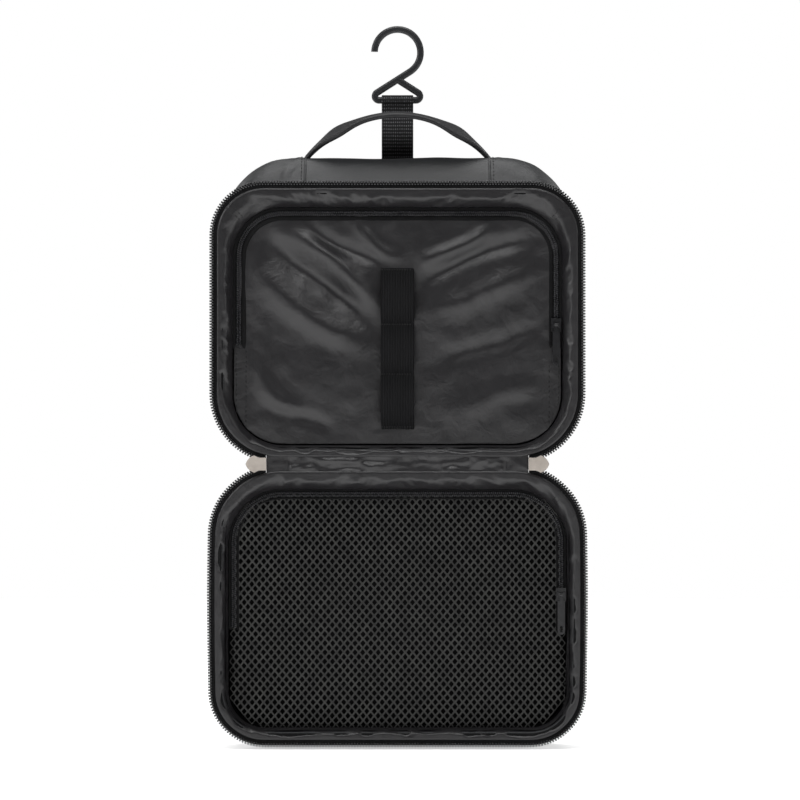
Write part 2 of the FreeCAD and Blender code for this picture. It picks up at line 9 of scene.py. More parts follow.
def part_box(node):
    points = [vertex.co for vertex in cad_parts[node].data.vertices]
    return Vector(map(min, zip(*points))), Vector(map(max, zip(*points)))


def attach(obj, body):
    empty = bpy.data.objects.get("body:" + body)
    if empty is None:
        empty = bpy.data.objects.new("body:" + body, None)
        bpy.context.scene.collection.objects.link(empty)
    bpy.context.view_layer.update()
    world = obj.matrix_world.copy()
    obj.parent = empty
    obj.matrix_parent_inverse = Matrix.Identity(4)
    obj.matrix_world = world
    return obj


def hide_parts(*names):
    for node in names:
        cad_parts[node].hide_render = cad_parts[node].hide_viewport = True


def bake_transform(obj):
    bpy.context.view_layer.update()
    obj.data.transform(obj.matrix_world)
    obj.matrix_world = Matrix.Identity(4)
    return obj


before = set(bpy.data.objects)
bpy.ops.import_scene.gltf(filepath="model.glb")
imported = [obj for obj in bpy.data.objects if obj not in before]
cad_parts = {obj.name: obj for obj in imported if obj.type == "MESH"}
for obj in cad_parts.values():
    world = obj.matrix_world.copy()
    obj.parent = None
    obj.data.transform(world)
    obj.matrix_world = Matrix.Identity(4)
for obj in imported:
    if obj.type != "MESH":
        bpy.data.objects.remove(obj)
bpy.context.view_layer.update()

# ---- Outer walls --------------------------------------------------------------------
# The gusset of each case: polyester cloth coated with matt charcoal polyurethane over thin foam.
# It is one long strip sewn to the zip tape in front and to the padded back panel behind,
# with a separate smooth piece across the top where the handle is sewn in.
MM = 0.001
UPPER, LOWER = 1, -1
teeth_low, teeth_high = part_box("upper_zip_teeth")
leaf_low, leaf_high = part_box("upper_spine_leaf")[0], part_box("lower_spine_leaf")[1]
fold_z = (leaf_low.z + leaf_high.z) / 2
rim_y, seam_y = teeth_low.y, teeth_high.y
case_half_w = teeth_high.x
case_h = teeth_high.z - fold_z
back_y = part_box("upper_back_panel")[1].y
crest_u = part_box("upper_end_wall")[1].z - fold_z
case_depth = back_y - rim_y
TAPE_W = 8 * MM
SEAM_R_FREE, SEAM_R_FOLD, CREST_R = 26 * MM, 36 * MM, 44 * MM
CREST_SHARE = 0.57
BACK_DROP = 2 * MM
HANDLE_SEAM_X = 58 * MM


def linear(hex_colour):
    """An sRGB hex colour as the linear RGBA that shaders take."""
    channels = [int(hex_colour[i:i + 2], 16) / 255 for i in (1, 3, 5)]
    return [c / 12.92 if c <= 0.04045 else ((c + 0.055) / 1.055) ** 2.4 for c in channels] + [1]


def add_node(material, kind, settings=(), links=()):
    """Adds a shader node; settings are attributes or socket values, links are (socket, other output)."""
    node = material.node_tree.nodes.new(kind)
    for name, value in dict(settings).items():
        if isinstance(name, int) or name in node.inputs:
            node.inputs[name].default_value = value
        else:
            setattr(node, name, value)
    for socket, output in dict(links).items():
        material.node_tree.links.new(output, node.inputs[socket])
    return node


def new_material(name, colour, **settings):
    """A material with only its shader, ready for the nodes that give its surface."""
    material = bpy.data.materials.new(name)
    material.use_nodes = True
    shader = material.node_tree.nodes["Principled BSDF"]
    shader.inputs["Base Color"].default_value = linear(colour)
    for socket, value in settings.items():
        shader.inputs[socket.replace("_", " ")].default_value = value
    return material, shader


def object_place(material, stretch=(1, 1, 1)):
    """Object coordinates, stretched along an axis where the surface has a grain."""
    coordinates = add_node(material, "ShaderNodeTexCoord")
    return add_node(material, "ShaderNodeMapping", {"Scale": stretch},
                    {"Vector": coordinates.outputs["Object"]}).outputs["Vector"]


def wear_to(material, shader, place, scale, dark, light, low=0.35, high=0.7):
    """Slow change between two shades, as handling and dust give cloth."""
    patches = add_node(material, "ShaderNodeTexNoise", {"Scale": scale, "Detail": 5.0}, {"Vector": place})
    ramp = add_node(material, "ShaderNodeValToRGB", {}, {"Fac": patches.outputs["Fac"]})
    ramp.color_ramp.elements[0].position, ramp.color_ramp.elements[1].position = low, high
    ramp.color_ramp.elements[0].color, ramp.color_ramp.elements[1].color = linear(dark), linear(light)
    material.node_tree.links.new(ramp.outputs["Color"], shader.inputs["Base Color"])
    return ramp.outputs["Color"]


def bump_to(material, shader, heights):
    """Chains bumps of (height output, depth in metres) into the shader's normal."""
    before = None
    for height, depth in heights:
        links = {"Height": height}
        if before:
            links["Normal"] = before
        before = add_node(material, "ShaderNodeBump", {"Distance": depth, "Strength": 1.0}, links).outputs["Normal"]
    material.node_tree.links.new(before, shader.inputs["Normal"])


# Polyurethane coating: a dense fine grain of about 0.7 mm that scatters light softly.
coated_cloth, shader = new_material("coated_polyester", "#2c2d2f", Roughness=0.5)
shader.inputs["Specular IOR Level"].default_value = 0.45
place = object_place(coated_cloth)
wear_to(coated_cloth, shader, place, 14.0, "#1e1f20", "#292a2c")
grain = add_node(coated_cloth, "ShaderNodeTexVoronoi", {"Scale": 1400.0}, {"Vector": place})
crumple = add_node(coated_cloth, "ShaderNodeTexNoise", {"Scale": 60.0, "Detail": 4.0}, {"Vector": place})
bump_to(coated_cloth, shader, [(crumple.outputs["Fac"], 0.0012), (grain.outputs["Distance"], 0.00006)])


def shrunk(outline, by):
    """The same rounded rectangle, moved inwards on all sides."""
    half_w, u_fold, u_free, r_fold, r_free = outline
    return half_w - by, u_fold + by, u_free - by, max(r_fold - by, MM), max(r_free - by, MM)


def rounded_loop(bm, y, side, outline, across=46, along=28, corner=10):
    """A closed loop of edges round the outline, from a face whose corners are bevelled."""
    half_w, u_fold, u_free, r_fold, r_free = outline
    places = [(half_w, u_fold), (half_w, u_free), (-half_w, u_free), (-half_w, u_fold)]
    corners = [bm.verts.new((x, y, fold_z + side * u)) for x, u in places]
    face = bm.faces.new(corners)
    for pair, radius in (((corners[0], corners[3]), r_fold), ((corners[1], corners[2]), r_free)):
        bmesh.ops.bevel(bm, geom=list(pair), offset=radius, offset_type="OFFSET", segments=corner,
                        profile=0.5, affect="VERTICES", material=-1, clamp_overlap=False)
    face = next(f for f in bm.faces if all(abs(v.co.y - y) < 1e-7 for v in f.verts) and len(f.verts) > 4)
    straight = sorted(face.edges, key=lambda e: -e.calc_length())[:4]
    for edge in straight:
        level = abs(edge.verts[0].co.z - edge.verts[1].co.z) < 1e-6
        bmesh.ops.subdivide_edges(bm, edges=[edge], cuts=across if level else along)
    face = next(f for f in bm.faces if all(abs(v.co.y - y) < 1e-7 for v in f.verts) and len(f.verts) > 4)
    edges = list(face.edges)
    bmesh.ops.delete(bm, geom=[face], context="FACES_ONLY")
    return edges


def bridged(bm, loops, away_from):
    """Joins each loop to the next with one row of faces, all turned away from the point."""
    for first, second in zip(loops, loops[1:]):
        bmesh.ops.bridge_loops(bm, edges=first + second)
    turned_from(bm, away_from)


def turned_from(bm, point):
    bmesh.ops.recalc_face_normals(bm, faces=bm.faces[:])
    bm.normal_update()
    if sum((f.calc_center_median() - point).dot(f.normal) * f.calc_area() for f in bm.faces) < 0:
        bmesh.ops.reverse_faces(bm, faces=bm.faces[:])
    bm.normal_update()


BEHIND = Vector((0, 3, fold_z))
IN_FRONT = Vector((0, -3, fold_z))


def case_centre(side):
    return Vector((0, (rim_y + back_y) / 2, fold_z + side * case_h / 2))


def bowed(bm):
    """The lower case's sides bow out a little, as its pocket is the fuller one."""
    for v in bm.verts:
        share = max(0.0, min(1.0, (fold_z - v.co.z) / case_h))
        outer = max(0.0, min(1.0, (abs(v.co.x) - 100 * MM) / (12 * MM)))
        v.co.x += math.copysign(1.5 * MM * math.sin(math.pi * share) * outer * outer * (3 - 2 * outer), v.co.x)


def finished(bm, name, material, thickness=0.0, smooth=1, offset=-1.0):
    """The bmesh as an object at the origin, with its wall thickness and subdivision."""
    mesh = bpy.data.meshes.new(name)
    bm.to_mesh(mesh)
    bm.free()
    mesh.materials.append(material)
    mesh.polygons.foreach_set("use_smooth", [True] * len(mesh.polygons))
    piece = bpy.data.objects.new(name, mesh)
    bpy.context.scene.collection.objects.link(piece)
    if thickness:
        wall = piece.modifiers.new("thickness", "SOLIDIFY")
        wall.thickness, wall.offset = thickness, offset
    if smooth:
        curve = piece.modifiers.new("smooth", "SUBSURF")
        curve.levels = curve.render_levels = smooth
    return piece


def seam_outline():
    return (case_half_w - TAPE_W, TAPE_W, case_h - TAPE_W, SEAM_R_FOLD, SEAM_R_FREE)


def wall_outline(side, depth):
    """Outline of the wall at a share of the case's depth: the top of the upper case is domed."""
    half_w, u_fold, u_free, r_fold, r_free = seam_outline()
    if side == LOWER:
        return half_w, u_fold, u_free, r_fold, r_free
    if depth < CREST_SHARE:
        rise = 1 - (1 - depth / CREST_SHARE) ** 1.6
        top = u_free + rise * (crest_u - u_free)
    else:
        rise = 1.0
        top = crest_u - BACK_DROP * ((depth - CREST_SHARE) / (1 - CREST_SHARE)) ** 2
    return half_w + 0.5 * MM * rise, u_fold, top, r_fold, r_free + rise * (CREST_R - r_free)


# Fixed, so that the cloth is uneven in the same way every time.
noise.seed_set(7)


def slack(point, size, seed, strength):
    """Smooth unevenness of sewn cloth: a vector of at most about the strength."""
    return noise.noise_vector(point / size + Vector((seed, 0, 0))) * strength


DEPTH_STEPS = 16
skins = {}
for side, name in ((UPPER, "upper"), (LOWER, "lower")):
    bm = bmesh.new()
    loops = []
    for step in range(DEPTH_STEPS + 1):
        depth = step / DEPTH_STEPS
        y = seam_y - 0.3 * MM + depth * (back_y - 1.4 * MM - seam_y)
        loops.append(rounded_loop(bm, y, side, wall_outline(side, depth), 70, 28))
    bridged(bm, loops, case_centre(side))
    for v in bm.verts:
        depth = (v.co.y - seam_y) / case_depth
        hold = max(0.0, min(1.0, depth * 6, (1.02 - depth) * 6))
        push = slack(v.co, 0.045, 3, 0.9 * MM) + slack(v.co, 0.016, 7, 0.35 * MM)
        v.co += push * hold
        beyond = (abs(v.co.x) - HANDLE_SEAM_X) / MM
        if side == UPPER and v.co.z - fold_z > case_h * 0.7 and beyond > 0:
            # The cloth crumples where it is drawn round the top corners.
            crumple = noise.noise(Vector((v.co.x * 150, v.co.y * 110, 2))) + 0.6 * noise.noise(v.co * 330)
            v.co += v.normal * 2.2 * MM * hold * crumple * math.exp(-((beyond - 14) / 14) ** 2)
    bowed(bm)
    skins[side] = BVHTree.FromBMesh(bm)
    wall = finished(bm, name + "_outer_wall", coated_cloth, 1.4 * MM)
    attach(wall, name + "_case")
    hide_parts(name + "_end_wall", name + "_fold_wall", name + "_side_walls")

# ---- Padded backs --------------------------------------------------------------------
# The back of each case: the same coated cloth laid over 3 mm foam, so it swells a little in the middle.
# It is sewn to the gusset all round over a thin piped edge.


def cloth_panel(bm, y, side, outline, step=2.5 * MM):
    """An even grid of faces that fills the rounded rectangle, turned to the front."""
    half_w, u_fold, u_free, r_fold, r_free = outline
    half_u, middle = (u_free - u_fold) / 2, (u_free + u_fold) / 2
    grid = bmesh.ops.create_grid(bm, x_segments=round(2 * half_w / step), y_segments=round(2 * half_u / step), size=1)
    for v in grid["verts"]:
        x, u = v.co.x * half_w, middle + v.co.y * half_u
        radius = r_free if u > middle else r_fold
        dx = abs(x) - (half_w - radius)
        du = abs(u - middle) - (half_u - radius)
        if dx > 0 and du > 0:
            pull = max(dx, du) / math.hypot(dx, du)
            x = math.copysign(half_w - radius + dx * pull, x)
            u = middle + math.copysign(half_u - radius + du * pull, u - middle)
        v.co = Vector((x, y, fold_z + side * u))
    turned_from(bm, BEHIND)


def to_edge(x, u, outline):
    """Distance from a point to the nearest straight side of the outline, for swells that die at the edge."""
    half_w, u_fold, u_free, _, _ = outline
    return min(half_w - abs(x), u - u_fold, u_free - u)


for side, name in ((UPPER, "upper"), (LOWER, "lower")):
    outline = wall_outline(side, 1.0)
    bm = bmesh.new()
    cloth_panel(bm, back_y - 1.2 * MM, side, shrunk(outline, 0.6 * MM), 3 * MM)
    turned_from(bm, IN_FRONT)
    for v in bm.verts:
        inside = to_edge(v.co.x, side * (v.co.z - fold_z), outline)
        swell = 1 - math.exp(-max(inside, 0) / (9 * MM))
        v.co.y += 1.3 * MM * swell + swell * slack(v.co, 0.05, 11, 0.5 * MM).y
    back = finished(bm, name + "_padded_back", coated_cloth, 3.4 * MM)
    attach(back, name + "_case")
    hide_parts(name + "_back_panel", name + "_back_foam")

# The piping: a cord wrapped in the same cloth, let into the seam round each back.
PIPING_R = 1.5 * MM


def loop_points(y, side, outline, corner=12):
    """The vertices of a rounded loop in order, to walk along."""
    bm = bmesh.new()
    edges = rounded_loop(bm, y, side, outline, 40, 30, corner)
    start = edges[0].verts[0]
    points, last, here = [], None, start
    while True:
        points.append(here.co.copy())
        onward = next(e for e in here.link_edges if e.other_vert(here) is not last)
        last, here = here, onward.other_vert(here)
        if here is start:
            break
    bm.free()
    return points


def tube_round(name, points, radius, material, closed=True, sides=4):
    """A round tube through the points, made a mesh so that it sits at the origin."""
    curve = bpy.data.curves.new(name, "CURVE")
    curve.dimensions = "3D"
    curve.bevel_depth, curve.bevel_resolution = radius, sides
    curve.use_fill_caps = not closed
    spline = curve.splines.new("POLY")
    spline.points.add(len(points) - 1)
    for spot, point in zip(spline.points, points):
        spot.co = (*point, 1)
    spline.use_cyclic_u = closed
    holder = bpy.data.objects.new(name + "_line", curve)
    bpy.context.scene.collection.objects.link(holder)
    mesh = bpy.data.meshes.new_from_object(holder.evaluated_get(bpy.context.evaluated_depsgraph_get()))
    bpy.data.objects.remove(holder)
    bm = bmesh.new()
    bm.from_mesh(mesh)
    bmesh.ops.remove_doubles(bm, verts=bm.verts[:], dist=1e-6)
    bmesh.ops.recalc_face_normals(bm, faces=bm.faces[:])
    return finished(bm, name, material, smooth=0)


for side, name in ((UPPER, "upper"), (LOWER, "lower")):
    line = loop_points(back_y - 1.5 * MM, side, shrunk(wall_outline(side, 1.0), 0.4 * MM))
    piping = tube_round(name + "_back_piping", line, PIPING_R, coated_cloth)
    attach(piping, name + "_case")

# ---- Top seams -----------------------------------------------------------------------
# Two seams cross the top wall where the handle's ends are sewn in.
# Each has a raised turned edge and a row of black polyester stitches beside it.
thread, shader = new_material("polyester_thread", "#0b0b0c", Roughness=0.6)
place = object_place(thread)
plies = add_node(thread, "ShaderNodeTexNoise", {"Scale": 1500.0}, {"Vector": place})
bump_to(thread, shader, [(plies.outputs["Fac"], 0.0001)])


def walk(points, pitch, closed=True):
    """Yields (place, direction) every pitch along the line of points."""
    ring = points + points[:1] if closed else points
    total = sum((b - a).length for a, b in zip(ring, ring[1:]))
    spacing, wanted, gone = total / int(total / pitch), 0.0, 0.0
    for a, b in zip(ring, ring[1:]):
        length = (b - a).length
        while wanted < gone + length and length > 0:
            yield a.lerp(b, (wanted - gone) / length), (b - a).normalized()
            wanted += spacing
        gone += length


def turned(place, along, up, size):
    """A matrix that scales a unit shape to size (along, across, up) and sets it on a line."""
    across = up.cross(along).normalized()
    basis = Matrix((along, across, up)).transposed().to_4x4()
    return Matrix.Translation(place) @ basis @ Matrix.Diagonal((*size, 1))


OUT = Vector((0, -1, 0))


def stitched(name, lines, up=OUT, pitch=3.0 * MM, length=2.1 * MM):
    """Rows of stitches, each a short rounded length of thread."""
    bm = bmesh.new()
    for points in lines:
        for spot, along in walk(points, pitch, closed=False):
            bmesh.ops.create_uvsphere(bm, u_segments=6, v_segments=5, radius=1,
                                      matrix=turned(spot, along, up, (length / 2, 0.35 * MM, 0.3 * MM)))
    return finished(bm, name, thread, smooth=0)


def on_front(tree, ends, lift=0.1 * MM, count=24):
    """A line between two (x, u) ends, laid on a surface from the front; u below 0 is the lower case."""
    (x0, u0), (x1, u1) = ends
    points = []
    for step in range(count + 1):
        share = step / count
        spot = Vector((x0 + (x1 - x0) * share, -1, fold_z + u0 + (u1 - u0) * share))
        hit = tree.ray_cast(spot, Vector((0, 1, 0)))[0]
        if hit:
            points.append(hit + OUT * lift)
    return points


seam_lines = []
for x in (-HANDLE_SEAM_X, HANDLE_SEAM_X):
    for offset, lift in ((0, 0.0), (math.copysign(2.3 * MM, x), 0.15 * MM)):
        line = []
        for step in range(31):
            spot = Vector((x + offset, seam_y + (back_y - seam_y - 4 * MM) * step / 30 + MM, 0))
            hit = skins[UPPER].ray_cast(spot, Vector((0, 0, -1)))[0]
            if hit:
                line.append(hit + Vector((0, 0, lift)))
        if offset:
            seam_lines.append(line)
        else:
            end_name = "left" if x < 0 else "right"
            welt = tube_round("top_seam_welt_" + end_name, line, 0.8 * MM, coated_cloth, closed=False)
            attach(welt, "upper_case")
top_stitches = stitched("top_seam_stitches", seam_lines, up=Vector((0, 0, 1)))
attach(top_stitches, "upper_case")

# ---- Linings ------------------------------------------------------------------------
# Black taffeta, woven fine enough to have a soft sheen, loose inside the foam walls.
# Behind the net it shows as a dark back, a darker copy of the cloth as painted shade; the strips between tape and
# pocket zip are gathered and wrinkled.
taffeta, shader = new_material("polyester_taffeta", "#1d1c1e", Roughness=0.36)
shader.inputs["Specular IOR Level"].default_value = 0.6
shader.inputs["Sheen Weight"].default_value = 0.06
shader.inputs["Sheen Roughness"].default_value = 0.4
shader.inputs["Sheen Tint"].default_value = linear("#8f8a90")
place = object_place(taffeta)
wear_to(taffeta, shader, place, 22.0, "#151416", "#1c1b1d")
creases = add_node(taffeta, "ShaderNodeTexNoise", {"Scale": 85.0, "Detail": 5.0, "Distortion": 0.6},
                   {"Vector": place})
fine = add_node(taffeta, "ShaderNodeTexNoise", {"Scale": 260.0, "Detail": 3.0}, {"Vector": place})
# Threads are 0.2 mm apart; drawn at 0.5 mm so that they show.
warp = add_node(taffeta, "ShaderNodeTexWave", {"Scale": 640.0, "bands_direction": "X"}, {"Vector": place})
weft = add_node(taffeta, "ShaderNodeTexWave", {"Scale": 640.0, "bands_direction": "Z"}, {"Vector": place})
bump_to(taffeta, shader, [(creases.outputs["Fac"], 0.0006), (fine.outputs["Fac"], 0.00012),
                          (warp.outputs["Fac"], 0.00002), (weft.outputs["Fac"], 0.00002)])

# The same cloth made darker and matt as painted shade, for where it shows deep inside the pockets.
shade_darkened_lining, shader = new_material("lining_painted_darker_as_shade", "#0d0d0e", Roughness=0.8)
shader.inputs["Specular IOR Level"].default_value = 0.15
place = object_place(shade_darkened_lining)
rumple = add_node(shade_darkened_lining, "ShaderNodeTexNoise", {"Scale": 90.0, "Detail": 4.0}, {"Vector": place})
bump_to(shade_darkened_lining, shader, [(rumple.outputs["Fac"], 0.0008)])

pocket_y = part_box("upper_pocket_panel")[0].y
foam_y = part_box("upper_back_foam")[0].y
for side, name in ((UPPER, "upper"), (LOWER, "lower")):
    bm = bmesh.new()
    loops = []
    for step in range(9):
        depth = step / 8 * 0.86
        y = seam_y + 2 * MM + depth * case_depth
        loops.append(rounded_loop(bm, min(y, foam_y - 1 * MM), side, shrunk(wall_outline(side, depth), 2.4 * MM)))
    bridged(bm, loops, case_centre(side))
    bmesh.ops.reverse_faces(bm, faces=bm.faces[:])
    for v in bm.verts:
        v.co += slack(v.co, 0.02, 5, 0.5 * MM)
    lining = finished(bm, name + "_wall_lining", shade_darkened_lining, 0.4 * MM, 0)
    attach(lining, name + "_case")
    bm = bmesh.new()
    outline = shrunk(wall_outline(side, 0.9), 2.6 * MM)
    cloth_panel(bm, foam_y - 1.4 * MM, side, outline, 3 * MM)
    for v in bm.verts:
        v.co.y += slack(v.co, 0.03, 9, 0.8 * MM).y
    floor_lining = finished(bm, name + "_back_lining", shade_darkened_lining, 0.4 * MM, 0)
    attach(floor_lining, name + "_case")
    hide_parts(name + "_lining")

borders = {}
BAND_HALF = {UPPER: 4.3 * MM, LOWER: 3.4 * MM}


def coil_outline(side):
    """The line of each pocket zip, from the CAD coil's box."""
    low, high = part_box("upper_pocket_coil" if side == UPPER else "lower_pocket_coil")
    coil_half = 1.4 * MM
    if side == UPPER:
        return high.x - coil_half, TAPE_W, high.z - coil_half - fold_z, 32 * MM, 27 * MM
    return high.x - coil_half, fold_z - high.z + coil_half, case_h - TAPE_W, 30 * MM, SEAM_R_FREE


def front_edge(side):
    """The outer edge of each pocket front: the zip's outer edge, and near the wall at the closed side."""
    half_w, u_fold, u_free, r_fold, r_free = shrunk(coil_outline(side), -BAND_HALF[side])
    near = 3.2 * MM
    if side == UPPER:
        return half_w, TAPE_W + near, u_free, 32 * MM, r_free
    return half_w, u_fold, case_h - TAPE_W - near, r_fold, SEAM_R_FREE - near


for side, name in ((UPPER, "upper"), (LOWER, "lower")):
    bm = bmesh.new()
    outer, inner = shrunk(seam_outline(), -3.7 * MM), shrunk(front_edge(side), 0.6 * MM)
    loops = []
    STRIP_STEPS = 12
    shares = {}
    for step in range(STRIP_STEPS + 1):
        share = step / STRIP_STEPS
        outline = [a + (b - a) * share for a, b in zip(outer, inner)]
        y = rim_y - 0.3 * MM + (pocket_y - rim_y - 0.1 * MM) * share ** 2.5
        shares[round(y * 1e6)] = share
        loops.append(rounded_loop(bm, y, side, outline, 130, 100, 26))
    bridged(bm, loops, BEHIND)
    for v in bm.verts:
        u = side * (v.co.z - fold_z)
        share = shares[min(shares, key=lambda y: abs(y - v.co.y * 1e6))]
        free = math.sin(math.pi * share) ** 0.6
        # Pleats run from seam to zip: sharp ridges between soft hollows.
        pleat = 1 - 2.4 * abs(noise.noise(Vector((v.co.x * 75, u * 75, side * 3 + share * 0.8))))
        ripple = 1 - 2.2 * abs(noise.noise(Vector((v.co.x * 170, u * 170, 4 + side))))
        push = 1.5 * pleat + 0.8 * ripple + 1.2 * noise.noise(Vector((v.co.x * 30, u * 30, side)))
        shift = slack(v.co, 0.012, 2 + side, 0.9 * MM) * free * min(1.0, 0.3 + share)
        v.co += Vector((shift.x, 0, shift.z))
        # Its outer edge is turned under and lies on the tape, so there it only lifts.
        v.co.y += 0.7 * MM if share == 0 else -free * MM * max(push, -1.3 * share)
        # Nothing stands out past the plane where the two cases meet when they are shut.
        v.co.y = max(v.co.y, rim_y - 0.3 * MM)
    if side == LOWER:
        bowed(bm)
    borders[side] = BVHTree.FromBMesh(bm)
    strip = finished(bm, name + "_lining_border", taffeta, 0.35 * MM)
    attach(strip, name + "_case")
    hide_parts(name + "_lining_strip")
    middle = loop_points(rim_y, side, [(a + b) / 2 for a, b in zip(outer, inner)])

# ---- Main zip: tapes -------------------------------------------------------------------
# Woven black polyester tape, 8 mm of it outside the seam, ribbed across by its weave.
# Both cases' tapes run into the sliders at the ends of the spine, where they bend with the fold.
zip_tape, shader = new_material("woven_zip_tape", "#121213", Roughness=0.8)
shader.inputs["Specular IOR Level"].default_value = 0.15
place = object_place(zip_tape)
wear_to(zip_tape, shader, place, 40.0, "#080809", "#101011")
# Herringbone ribs about 1 mm apart.
ribs = add_node(zip_tape, "ShaderNodeTexVoronoi", {"Scale": 900.0}, {"Vector": place})
bump_to(zip_tape, shader, [(ribs.outputs["Distance"], 0.00025)])

SPINE_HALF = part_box("upper_spine_leaf")[1].x + 2 * MM


def cut_spine(bm, half, top):
    """Takes out what lies across the spine, between the two sliders."""
    for x in (-half, half):
        bmesh.ops.bisect_plane(bm, geom=bm.verts[:] + bm.edges[:] + bm.faces[:], plane_co=(x, 0, 0),
                               plane_no=(1, 0, 0))
    gone = [f for f in bm.faces if abs(f.calc_center_median().x) < half
            and abs(f.calc_center_median().z - fold_z) < top]
    bmesh.ops.delete(bm, geom=gone, context="FACES")


def teeth_outline(by=0.0):
    return shrunk((case_half_w, 0.0, case_h, 44 * MM, 34 * MM), by)


bm = bmesh.new()
for side in (UPPER, LOWER):
    # Seen across the tape: teeth cord, flat tape, then the turned edge that is sewn to the wall.
    section = ((0.9, 1.0), (2.0, 0.2), (2.9, 0.15), (4.2, 0.35), (5.8, 0.28), (7.2, 0.1), (7.9, -0.25), (8.5, 0.3),
               (8.8, 1.4))
    bridged(bm, [rounded_loop(bm, rim_y + (0.4 + rise) * MM, side, teeth_outline(inset * MM), 80, 56, 16)
                 for inset, rise in section], BEHIND)
cut_spine(bm, SPINE_HALF, 12 * MM)
for v in bm.verts:
    v.co.y += slack(v.co, 0.03, 13, 0.35 * MM).y
bowed(bm)
main_tape = finished(bm, "main_zip_tape", zip_tape, 0.6 * MM)
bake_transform(main_tape)
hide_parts("upper_zip_tape", "lower_zip_tape")

# ---- Main zip: teeth --------------------------------------------------------------------
# Moulded black nylon, one tooth every 1.8 mm, clamped over the tape's corded edge.
# They are glossy, so a row of them catches the light as bright dots.
nylon, shader = new_material("moulded_nylon", "#0d0d0f", Roughness=0.16)
shader.inputs["Specular IOR Level"].default_value = 0.8
place = object_place(nylon)
tint = add_node(nylon, "ShaderNodeTexNoise", {"Scale": 500.0}, {"Vector": place})
bump_to(nylon, shader, [(tint.outputs["Fac"], 0.00008)])
TOOTH_PITCH = 1.8 * MM


bm = bmesh.new()
for side in (UPPER, LOWER):
    for spot, along in walk(loop_points(rim_y + 0.55 * MM, side, teeth_outline(1.25 * MM), 24), TOOTH_PITCH):
        u = side * (spot.z - fold_z)
        if abs(spot.x) < SPINE_HALF + 2 * MM and u < 9 * MM:
            continue
        bmesh.ops.create_cube(bm, size=1, matrix=turned(spot, along, OUT, (1.2 * MM, 2.7 * MM, 2.2 * MM)))
bmesh.ops.bevel(bm, geom=bm.edges[:], offset=0.45 * MM, offset_type="OFFSET", segments=2, profile=0.5,
                affect="EDGES", material=-1)
bowed(bm)
teeth = finished(bm, "main_zip_teeth", nylon, smooth=0)
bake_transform(teeth)
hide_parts("upper_zip_teeth", "lower_zip_teeth")

# ---- Spine ----------------------------------------------------------------------------
# The strip of lining cloth that joins the two cases: sewn to both rims, wrinkled along its length,
# with a short smooth binding at each end beside the slider.
bm = bmesh.new()
grid = bmesh.ops.create_grid(bm, x_segments=170, y_segments=20, size=1)
spine_reach = 8.8 * MM
for v in grid["verts"]:
    x, u = v.co.x * (SPINE_HALF - 0.05 * MM), v.co.y * spine_reach
    free = 1 - (u / spine_reach) ** 2
    end = 1 / (1 + math.exp(-(abs(x) - 68 * MM) / (1.0 * MM)))
    fold_lines = noise.noise(Vector((x * 70, u * 210, 1))) + 0.5 * noise.noise(Vector((x * 190, u * 330, 8)))
    lift = free * (1.6 * MM * fold_lines + 0.3 * MM) * (1 - 0.85 * end)
    ridge = 0.7 * MM * math.exp(-((abs(x) - 68 * MM) / (0.9 * MM)) ** 2)
    v.co = Vector((x, rim_y + 0.6 * MM - lift + ridge, fold_z + u))
spine = finished(bm, "fabric_spine", taffeta, 0.4 * MM)
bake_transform(spine)
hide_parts("upper_spine_leaf", "lower_spine_leaf")

# ---- Upper pocket front --------------------------------------------------------------------
# One sheet of taffeta sewn in slack, so long diagonal folds run from its corners to the elastic band.
# Below the zip's ends it is sewn down at both sides to the narrow flaps beside it.
bm = bmesh.new()
panel_outline = list(shrunk(front_edge(UPPER), 1.0 * MM))
ELASTIC_TOP_U = 124 * MM
cloth_panel(bm, pocket_y + 0.2 * MM, UPPER, panel_outline, 2.2 * MM)
# Folds as (start x, start u, end x, end u, half width, height), in millimetres.
PANEL_FOLDS = [(-84, 146, -16, 84, 9, -2.6), (-70, 150, -12, 100, 8, 2.2), (-92, 120, -20, 70, 10, 2.0),
               (-60, 152, -6, 122, 6, -1.4), (14, 122, 60, 150, 7, 1.8), (12, 112, 86, 146, 7, -1.5),
               (16, 96, 92, 120, 9, 1.4), (-92, 60, -60, 26, 9, 1.6), (-84, 40, -40, 18, 6, -1.2),
               (20, 60, 92, 90, 8, -1.0), (30, 30, 90, 50, 9, 0.8), (-30, 150, 4, 126, 5, 1.2)]


def fold_height(x, u, folds):
    """Sum of long soft ridges, each dying out at its ends."""
    height = 0.0
    for x0, u0, x1, u1, half, rise in folds:
        length = math.hypot(x1 - x0, u1 - u0)
        ax, au = (x1 - x0) / length, (u1 - u0) / length
        run = ((x - x0) * ax + (u - u0) * au) / length
        off = (x - x0) * au - (u - u0) * ax + 2.5 * math.sin(run * 5 + x0)
        fade = math.exp(-((run - 0.5) / 0.42) ** 4)
        height += rise * fade * math.exp(-(off / (0.75 * half)) ** 2)
    return height


